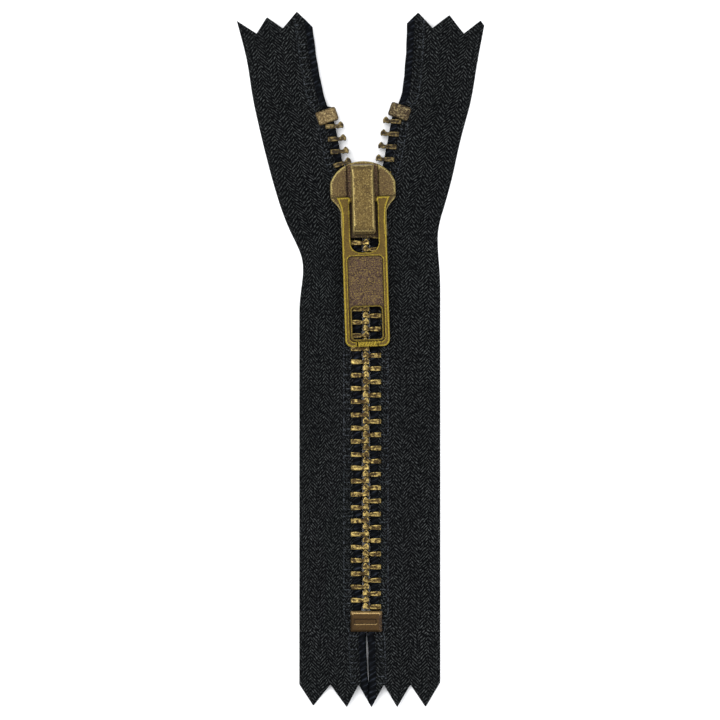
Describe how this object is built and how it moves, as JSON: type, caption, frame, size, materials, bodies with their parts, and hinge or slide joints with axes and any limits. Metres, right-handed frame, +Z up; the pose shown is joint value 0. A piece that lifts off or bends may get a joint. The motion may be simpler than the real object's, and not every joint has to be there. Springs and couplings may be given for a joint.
{
  "type": "zipper",
  "caption": "Closed-end metal zip: two woven tapes with crimped brass teeth, end stops and an auto-lock slider with a framed pull tab.",
  "frame": {"origin": "middle of the bottom stop's underside, on the surface the zip lies on", "axes": "+X to the right across the tapes, +Y up the chain towards the open end, +Z up from the surface"},
  "size_m": [0.0602, 0.1691, 0.0087],
  "materials": {
    "tape": "black herringbone weave",
    "cord": "black braided bead cord",
    "teeth": "antique brass",
    "stops": "antique brass",
    "slider": "antique brass, worn bright at the edges",
    "cap": "antique brass, worn bright at the edges",
    "pull": "antique brass with a dark recessed panel",
    "spring_steel": "hardened strip"
  },
  "bodies": {
    "foot": {"left_tape_foot": "tape", "right_tape_foot": "tape", "left_cord_foot": "cord", "right_cord_foot": "cord", "left_teeth_foot": "teeth", "right_teeth_foot": "teeth", "bottom_stop": "stops"},
    "left_stringer": {"left_tape": "tape", "left_cord": "cord", "left_teeth": "teeth"},
    "right_stringer": {"right_tape": "tape", "right_cord": "cord", "right_teeth": "teeth"},
    "left_end": {"left_tape_end": "tape", "left_cord_end": "cord", "left_teeth_end": "teeth", "left_top_stop": "stops"},
    "right_end": {"right_tape_end": "tape", "right_cord_end": "cord", "right_teeth_end": "teeth", "right_top_stop": "stops"},
    "slider": {"slider_body": "slider", "slider_cap": "cap", "lock_spring": "spring_steel"},
    "lock_pin": {"lock_pin": "spring_steel"},
    "pull": {"pull_tab": "pull"}
  },
  "joints": [
    {"name": "slider_travel", "type": "slide", "parent": "foot", "child": "slider", "axis": [0, -1, 0], "range_m": [0, 0.09005]},
    {"name": "left_chain_opening", "type": "hinge", "parent": "foot", "child": "left_stringer", "pos_m": [0, 0.00917, 0.00245], "axis": [0, 0, 1], "range_deg": [0, 12.01], "deforming": ["left_tape", "left_cord", "left_teeth"]},
    {"name": "right_chain_opening", "type": "hinge", "parent": "foot", "child": "right_stringer", "pos_m": [0, 0.00917, 0.00245], "axis": [0, 0, -1], "range_deg": [0, 12.01], "deforming": ["right_tape", "right_cord", "right_teeth"]},
    {"name": "left_end_swing", "type": "hinge", "parent": "left_stringer", "child": "left_end", "pos_m": [-0.00639, 0.111, 0.00245], "axis": [0, 0, 1], "range_deg": [-10, 12]},
    {"name": "right_end_swing", "type": "hinge", "parent": "right_stringer", "child": "right_end", "pos_m": [0.00504, 0.111, 0.00245], "axis": [0, 0, -1], "range_deg": [-10, 12]},
    {"name": "pull_swing", "type": "hinge", "parent": "slider", "child": "pull", "pos_m": [-0.00065, 0.1024, 0.0066], "axis": [-0.9995, -0.0314, 0], "range_deg": [0, 175]},
    {"name": "lock_pin_lift", "type": "slide", "parent": "slider", "child": "lock_pin", "axis": [0, 0, 1], "range_m": [0, 0.000901], "deforming": ["lock_spring"]}
  ],
  "couplings": [
    {"joint": "left_chain_opening", "follows": "slider_travel", "rad_per_m": 2.3259},
    {"joint": "right_chain_opening", "follows": "slider_travel", "rad_per_m": 2.3259},
    {"joint": "lock_pin_lift", "follows": "pull_swing", "m_per_rad": 0.00029466}
  ]
}
